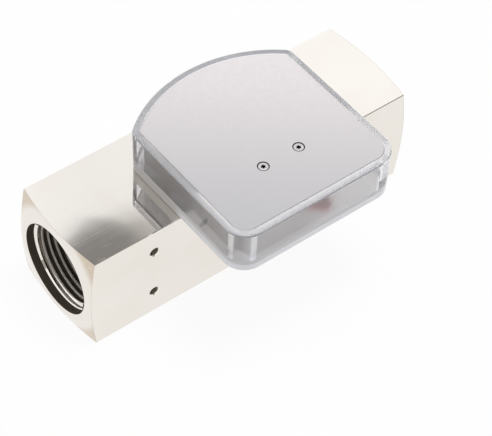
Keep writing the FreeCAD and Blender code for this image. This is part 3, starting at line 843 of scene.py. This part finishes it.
@dataclass
class PipeBar:
    """The plated bar with its pipe threads and tapped side holes."""

    node: str = "pipe_body"

    def finish(self) -> PlatedBarFinish:
        """Nickel finish fitted to this bar's ends and holes.

        Returns:
            The finish.
        """
        low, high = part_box(self.node)
        holes = MOUNTS["side_holes"]
        return PlatedBarFinish(
            axis_height=(low.z + high.z) / 2,
            half_length=(high.x - low.x) / 2,
            hole_place=tuple(holes["pos_m"]),
            hole_spacing=holes["dims"]["spacing_y_mm"] * MM,
            hole_radius=holes["dims"]["hole_r_mm"] * MM,
        )

    def build(self) -> None:
        """Dress the bar."""
        dress({self.finish(): (self.node,)})


@dataclass
class FlowTrain:
    """Sleeve, float, guide and spring inside the bore."""

    spring_node: str = "return_spring"
    spring_turns: int = 10
    wire_radius: float = 0.4 * MM
    wire_sides: int = 14
    turn_steps: int = 56
    merge: float = 0.001 * MM
    smooth_angle_deg: float = 40.0

    def finishes(self) -> dict[Finish, tuple[str, ...]]:
        """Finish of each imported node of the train."""
        return {
            TURNED_BRASS: ("metering_sleeve", "float", "inlet_spider", "outlet_spider"),
            GROUND_STEEL: ("guide_rod", "rod_nuts", "magnet_retainer"),
            SPRING_STEEL: ("retaining_rings",),
            WHITE_BUSH: ("stop_washer", "float_bushes"),
            MAGNET_SKIN: ("ring_magnet",),
            SEAL_BLACK: ("sleeve_seal",),
        }

    def spring(self) -> Piece:
        """Wind the return spring between the magnet's retainer and the outlet spider.

        Returns:
            The spring.
        """
        low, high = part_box(self.spring_node)
        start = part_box("magnet_retainer")[1].x
        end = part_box("outlet_spider")[0].x
        coil_radius = (high.y - low.y) / 2 - self.wire_radius
        axis = Vector((start + self.wire_radius, (low.y + high.y) / 2, (low.z + high.z) / 2))
        pitch = (end - start - 2 * self.wire_radius) / self.spring_turns
        bpy.ops.mesh.primitive_circle_add(vertices=self.wire_sides, radius=self.wire_radius)
        piece = named("coil_spring")
        piece.data.transform(Matrix.Translation((0.0, coil_radius, 0.0)))
        winding = piece.modifiers.new("winding", "SCREW")
        winding.axis = "X"
        winding.screw_offset = pitch
        winding.iterations = self.spring_turns
        winding.steps = self.turn_steps
        winding.render_steps = self.turn_steps
        winding.use_smooth_shade = True
        bpy.ops.object.modifier_apply(modifier=winding.name)
        piece.data.transform(Matrix.Translation(axis))
        bpy.ops.object.mode_set(mode="EDIT")
        bpy.ops.mesh.select_all(action="SELECT")
        bpy.ops.mesh.remove_doubles(threshold=self.merge)
        bpy.ops.mesh.select_all(action="DESELECT")
        bpy.ops.mesh.select_non_manifold(extend=False)
        bpy.ops.mesh.fill_holes(sides=0)
        bpy.ops.mesh.select_all(action="SELECT")
        bpy.ops.mesh.normals_make_consistent(inside=False)
        bpy.ops.object.mode_set(mode="OBJECT")
        bpy.ops.object.shade_smooth_by_angle(angle=math.radians(self.smooth_angle_deg))
        return piece

    def build(self) -> None:
        """Dress the train and wind its spring."""
        dress(self.finishes())
        piece = self.spring()
        piece.data.materials.append(SPRING_STEEL.material())
        hand_over(piece, "meter")
        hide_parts(self.spring_node)
        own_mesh(piece)


@dataclass
class DisplayBox:
    """Clear hood, its cover and the fasteners of both."""

    hood_node: str = "display_hood"
    lift: float = 0.02 * MM
    merge: float = 0.002 * MM
    flat_angle_deg: float = 0.4
    smooth_angle_deg: float = 25.0
    sink_gap: float = 0.4 * MM
    head_edge: float = 0.25 * MM
    shade_past: float = 8.0 * MM
    rim_depth: float = 0.5 * MM
    slab_depth: float = 4.9 * MM
    bar_blend: float = 4.0 * MM
    edge_reach: float = 3.0 * MM
    level_normal: float = 0.9

    def finishes(self) -> dict[Finish, tuple[str, ...]]:
        """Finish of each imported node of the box."""
        return {
            self.cover_finish(): ("cover_plate",),
            self.screw_finish(): ("cover_screws",),
            ZINC_PLATE: ("hood_screws", "hood_washers"),
            TURNED_BRASS: ("threaded_inserts",),
            GASKET_GREY: ("cover_gasket",),
        }

    def screw_axes(self) -> tuple[tuple[Triple, ...], float]:
        """Where the cover screws stand.

        Returns:
            A point on each screw's axis, and the radius of the heads.
        """
        low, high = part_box("cover_screws")
        radius = (high.y - low.y) / 2
        middle = (low.y + high.y) / 2
        return ((low.x + radius, middle, high.z), (high.x - radius, middle, high.z)), radius

    def screw_finish(self) -> ScrewFinish:
        """Finish of the cover screws, fitted to their heads.

        Returns:
            The finish.
        """
        places, radius = self.screw_axes()
        return ScrewFinish(
            "screw_steel", (0.66, 0.63, 0.625), (0.56, 0.535, 0.53), 0.28, 0.42, Grain.BLASTED,
            places=places,
            # The dark ring round each head is painted shade.
            head_shade_from_to=(radius - self.head_edge, radius - self.head_edge / 2),
        )

    def cover_finish(self) -> CoverFinish:
        """Finish of the cover, fitted to its faces and countersinks, with painted sheen and shade laid on them.

        Returns:
            The finish.
        """
        low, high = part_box("cover_plate")
        places, radius = self.screw_axes()
        return CoverFinish(
            "satin_plate", (0.80, 0.75, 0.745), (0.76, 0.715, 0.71), 0.34, 0.44, Grain.BLASTED,
            marks_per_metre=2600.0,
            mark_depth=3.5e-6,
            cloud_scale=640.0,
            top=high.z,
            underside=low.z,
            sinks=places,
            sink_radius=radius + self.sink_gap,
            # Painted sheen is brightest beyond the high corner and fades to painted shade beyond the low corner.
            painted_sheen_side=(high.x, high.y + self.shade_past, high.z),
            painted_shade_side=(low.x, low.y - self.shade_past, high.z),
        )

    def shell_finish(self, zone: HoodZone) -> ClearFinish:
        """Clear finish fitted to this hood's walls.

        Args:
            zone: Zone of the hood; milled edges scatter more light than the walls.

        Returns:
            The finish.
        """
        low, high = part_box(self.hood_node)
        bar_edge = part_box("pipe_body")[0].y
        name, clearness, upper_shade_share = zone.value
        return ClearFinish(
            name=name,
            clearness=clearness,
            upper_shade_share=upper_shade_share,
            bar_from_to=(bar_edge - self.bar_blend, bar_edge + self.bar_blend),
            corner_low=tuple(low),
            corner_high=tuple(high),
            pivot=tuple(PIVOT),
            ledge=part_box("cover_gasket")[0].z,
        )

    def zone(self, face: bpy.types.MeshPolygon) -> HoodZone:
        """Zone that a face of the hood belongs to.

        Args:
            face: The face.

        Returns:
            Its zone.
        """
        low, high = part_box(self.hood_node)
        x, y, z = face.center
        from_arc = high.y - PIVOT.y - math.hypot(x - PIVOT.x, y - PIVOT.y)
        beside = min(x - low.x, high.x - x, y - low.y, from_arc) < self.edge_reach
        if z > high.z - self.rim_depth:
            return HoodZone.RIM
        if beside and z < low.z + self.slab_depth and abs(face.normal.z) < self.level_normal:
            return HoodZone.FLOOR_EDGE
        return HoodZone.WALL

    def hood(self) -> Piece:
        """Smooth copy of the hood, with its underside just clear of the bar and its edges set apart.

        Returns:
            The hood.
        """
        node = frame["nodes"][self.hood_node]
        piece = bpy.data.objects.new("clear_hood", node.data.copy())
        piece.data.name = "clear_hood"
        bpy.context.scene.collection.objects.link(piece)
        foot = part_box(self.hood_node)[0].z
        take(piece)
        bpy.ops.object.mode_set(mode="EDIT")
        bpy.ops.mesh.customdata_custom_splitnormals_clear()
        bpy.ops.mesh.select_all(action="SELECT")
        bpy.ops.mesh.remove_doubles(threshold=self.merge)
        bpy.ops.mesh.dissolve_limited(angle_limit=math.radians(self.flat_angle_deg))
        bpy.ops.mesh.select_all(action="SELECT")
        bpy.ops.mesh.bisect(plane_co=(0.0, 0.0, foot + self.slab_depth), plane_no=(0.0, 0.0, 1.0))
        bpy.ops.object.mode_set(mode="OBJECT")
        for vertex in piece.data.vertices:
            vertex.select = vertex.co.z < foot + self.lift
        bpy.ops.object.mode_set(mode="EDIT")
        bpy.ops.transform.translate(value=(0.0, 0.0, self.lift))
        bpy.ops.object.mode_set(mode="OBJECT")
        bpy.ops.object.shade_smooth_by_angle(angle=math.radians(self.smooth_angle_deg))
        zones = list(HoodZone)
        piece.data.materials.clear()
        for zone in zones:
            piece.data.materials.append(self.shell_finish(zone).material())
        for face in piece.data.polygons:
            face.material_index = zones.index(self.zone(face))
        return piece

    def build(self) -> None:
        """Dress the box and put the smooth hood over its node."""
        dress(self.finishes())
        piece = self.hood()
        hand_over(piece, "meter")
        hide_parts(self.hood_node)


@dataclass
class Indicator:
    """Pointer, its bearings, and the printed scale that it moves along."""

    print_height: float = 0.04 * MM
    tick_width: float = 0.28 * MM
    long_tick: float = 2.6 * MM
    short_tick: float = 1.5 * MM
    number_height: float = 2.6 * MM
    digit_share: float = 0.7
    number_drop: float = 0.85
    tick_top_gap: float = 0.8 * MM
    divisions: int = 20
    divisions_per_number: int = 5
    number_step: int = 10

    def finishes(self) -> dict[Finish, tuple[str, ...]]:
        """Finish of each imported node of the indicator."""
        return {
            POINTER_RED: ("pointer",),
            SCALE_WHITE: ("scale_band",),
            GROUND_STEEL: ("pivot_pin",),
            TURNED_BRASS: ("lower_bush", "upper_bush", "balance_weight"),
            MAGNET_SKIN: ("follower_magnet",),
        }

    def on_band(self, angle: float, height: float) -> Matrix:
        """Place on the band's outer face.

        Args:
            angle: Angle about the pivot in radians, 0 in the middle, positive towards the inlet.
            height: Height above the ground.

        Returns:
            Matrix that stands a flat mark there, upright and facing outwards.
        """
        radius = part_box("scale_band")[1].y - PIVOT.y
        outward = Vector((-math.sin(angle), math.cos(angle), 0.0))
        right = Vector((-math.cos(angle), -math.sin(angle), 0.0))
        place = Vector((PIVOT.x, PIVOT.y, height)) + outward * radius
        turn = Matrix((right, Vector((0.0, 0.0, 1.0)), outward)).transposed().to_4x4()
        return Matrix.Translation(place) @ turn

    def tick(self, length: float) -> Piece:
        """One flat tick, hanging down from the origin.

        Args:
            length: Its length.

        Returns:
            The tick.
        """
        bpy.ops.mesh.primitive_plane_add(size=1.0)
        piece = named("tick")
        bpy.ops.object.mode_set(mode="EDIT")
        bpy.ops.transform.resize(value=(self.tick_width, length, 1.0))
        bpy.ops.transform.translate(value=(0.0, -length / 2, 0.0))
        bpy.ops.mesh.extrude_region_move(TRANSFORM_OT_translate={"value": (0.0, 0.0, self.print_height)})
        bpy.ops.mesh.select_all(action="SELECT")
        bpy.ops.mesh.normals_make_consistent(inside=False)
        bpy.ops.object.mode_set(mode="OBJECT")
        return piece

    def number(self, text: str) -> Piece:
        """One printed number, with its middle at the origin.

        Args:
            text: The digits.

        Returns:
            The number.
        """
        bpy.ops.object.text_add()
        made = bpy.context.object
        made.data.body = text
        made.data.size = self.number_height / self.digit_share
        made.data.align_x = "CENTER"
        made.data.align_y = "CENTER"
        made.data.extrude = self.print_height / 2
        bpy.ops.object.convert(target="MESH")
        piece = named("number_" + text)
        piece.data.transform(Matrix.Translation((0.0, 0.0, self.print_height / 2)))
        return piece

    def scale_marks(self) -> tuple[Piece, Piece]:
        """Print the ticks and numbers on the band.

        Returns:
            The ticks and the numbers, each joined into one piece.
        """
        swing = math.radians(JOINTS["pointer_swing"]["range_deg"][1])
        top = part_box("scale_band")[1].z - self.tick_top_gap
        drop = self.long_tick + self.number_height * self.number_drop
        models = [self.tick(length) for length in (self.long_tick, self.short_tick)]
        ticks: list[Piece] = []
        numbers: list[Piece] = []
        for index in range(self.divisions + 1):
            angle = swing / 2 - swing * index / self.divisions
            count, rest = divmod(index, self.divisions_per_number)
            tick = bpy.data.objects.new("tick", models[rest > 0].data.copy())
            bpy.context.scene.collection.objects.link(tick)
            tick.data.transform(self.on_band(angle, top))
            ticks.append(tick)
            if not rest:
                number = self.number(str(count * self.number_step))
                number.data.transform(self.on_band(angle, top - drop))
                numbers.append(number)
        for model in models:
            bpy.data.objects.remove(model)
        return joined(ticks, "scale_ticks"), joined(numbers, "scale_numbers")

    def build(self) -> None:
        """Dress the indicator and print its scale."""
        dress(self.finishes())
        ink = PRINT_BLACK.material()
        for piece in self.scale_marks():
            piece.data.materials.append(ink)
            hand_over(piece, "meter")


@dataclass(frozen=True)
class Softbox:
    """Square soft lamp that lights the object but shows in no mirror."""

    name: str
    place: Triple
    aim: Triple
    size: float
    power: float

    def build(self) -> None:
        """Hang the lamp."""
        lamp = bpy.data.lights.new(self.name, "AREA")
        lamp.size = self.size
        lamp.energy = self.power
        holder = bpy.data.objects.new(self.name, lamp)
        holder.location = self.place
        holder.rotation_euler = (Vector(self.aim) - Vector(self.place)).to_track_quat("-Z", "Y").to_euler()
        holder.visible_camera = False
        holder.visible_glossy = False
        holder.visible_transmission = False
        bpy.context.scene.collection.objects.link(holder)


@dataclass(frozen=True)
class MirrorPatch:
    """Round patch of the dome, as mirrors see it, that fades out from an inner to an outer angle."""

    towards: Triple
    inner_deg: float
    outer_deg: float
    colour: Triple


@dataclass
class Studio:
    """White table, pale dome, soft lamps and the camera of the photograph."""

    floor_side: float = 8.0
    floor_white: float = 0.93
    floor_in_mirrors: float = 0.95
    floor_through_plastic: float = 0.9
    floor_albedo: Triple = (0.93, 0.93, 0.93)
    floor_rough: float = 0.9
    dome_light: Triple = WHITE
    dome_level: float = 0.45
    mirror_light: Triple = (1.15, 1.16, 1.18)
    mirror_patches: tuple[MirrorPatch, ...] = (
        MirrorPatch((0.385, 0.525, 0.758), 0.8, 5.2, (1.03, 1.04, 1.06)),
        MirrorPatch((0.3745, 0.5145, 0.7713), 0.9, 1.9, (0.48, 0.475, 0.47)),
        MirrorPatch((0.3585, 0.5247, 0.7721), 1.0, 1.6, (0.265, 0.26, 0.26)),
        MirrorPatch((0.45, -0.74, 0.50), 12.0, 18.0, (0.36, 0.34, 0.32)),
        MirrorPatch((-0.915, -0.399, 0.08), 6.0, 12.0, (0.42, 0.41, 0.39)),
    )
    softboxes: tuple[Softbox, ...] = (
        Softbox("key_light", (0.25, -0.12, 1.5), (0.0, 0.0, 0.03), 0.5, 11.0),
        Softbox("fill_light", (-0.3, 0.5, 1.4), (0.0, 0.0, 0.03), 1.2, 2.0),
    )
    camera_place: Triple = (-0.30265, -0.37208, 0.55365)
    camera_aim: Triple = (-0.00772, -0.02598, 0.03021)
    camera_roll_deg: float = 3.47
    focal_length: float = 150.55
    sensor_width: float = 36.0
    light_bounces: int = 24

    def floor(self) -> None:
        """Lay the white table; the eye and mirrors see it nearly white, with the shadow kept."""
        bpy.ops.mesh.primitive_plane_add(size=self.floor_side)
        piece = named("table")
        recipe = Recipe("table_white")
        recipe.done(Base_Color=self.floor_albedo, Roughness=self.floor_rough)
        path = recipe.node("LightPath").outputs
        seen = recipe.product(path["Is Glossy Ray"], self.floor_in_mirrors)
        seen = recipe.blend(path["Is Transmission Ray"], seen, self.floor_through_plastic)
        seen = recipe.blend(path["Is Camera Ray"], seen, self.floor_white)
        glow = recipe.node("Emission").outputs[0]
        surface = recipe.shaded(seen, recipe.shader.outputs[0], glow)
        recipe.feed(surface, recipe.tree.nodes["Material Output"].inputs["Surface"])
        piece.data.materials.append(recipe.material)

    def dome(self) -> None:
        """White for the eye, soft light for dull surfaces, and a dome with darker patches for mirrors."""
        world = bpy.data.worlds.new("dome")
        world.use_nodes = True
        world.node_tree.nodes.clear()
        wiring = Wiring(world.node_tree)
        path = wiring.node("LightPath").outputs
        view = wiring.node("TexCoord").outputs["Generated"]
        tint: Triple | Socket = self.mirror_light
        for patch in self.mirror_patches:
            towards = wiring.dot(view, tuple(Vector(patch.towards).normalized()))
            limits = [math.cos(math.radians(angle)) for angle in (patch.outer_deg, patch.inner_deg)]
            tint = wiring.mix(wiring.step(towards, *limits), tint, patch.colour)
        soft = wiring.node("Background", self.dome_light, self.dome_level).outputs[0]
        mirrored = wiring.node("Background", tint).outputs[0]
        eye = wiring.node("Background", WHITE).outputs[0]
        sharp = wiring.math("MAXIMUM", path["Is Glossy Ray"], path["Is Transmission Ray"])
        seen = wiring.shaded(path["Is Camera Ray"], wiring.shaded(sharp, soft, mirrored), eye)
        wiring.node("OutputWorld", seen)
        bpy.context.scene.world = world

    def camera(self) -> None:
        """Set the camera at the photograph's viewpoint."""
        lens = bpy.data.cameras.new("photo_camera")
        lens.lens = self.focal_length
        lens.sensor_width = self.sensor_width
        lens.sensor_fit = "HORIZONTAL"
        holder = bpy.data.objects.new("photo_camera", lens)
        place = Vector(self.camera_place)
        look = (Vector(self.camera_aim) - place).to_track_quat("-Z", "Y").to_matrix().to_4x4()
        roll = Matrix.Rotation(math.radians(self.camera_roll_deg), 4, "Z")
        holder.matrix_world = Matrix.Translation(place) @ look @ roll
        bpy.context.scene.collection.objects.link(holder)
        bpy.context.scene.camera = holder

    def build(self) -> None:
        """Set up the studio."""
        self.floor()
        self.dome()
        for softbox in self.softboxes:
            softbox.build()
        self.camera()
        scene = bpy.context.scene
        scene.view_settings.view_transform = "Standard"
        for kind in ("max_bounces", "glossy_bounces", "transmission_bounces"):
            setattr(scene.cycles, kind, self.light_bounces)


def main() -> None:
    """Build the looks in order."""
    logging.basicConfig(level=logging.INFO, format="%(message)s")
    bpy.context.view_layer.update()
    for assembly in (PipeBar(), FlowTrain(), DisplayBox(), Indicator(), Studio()):
        assembly.build()


if __name__ == "__main__":
    main()
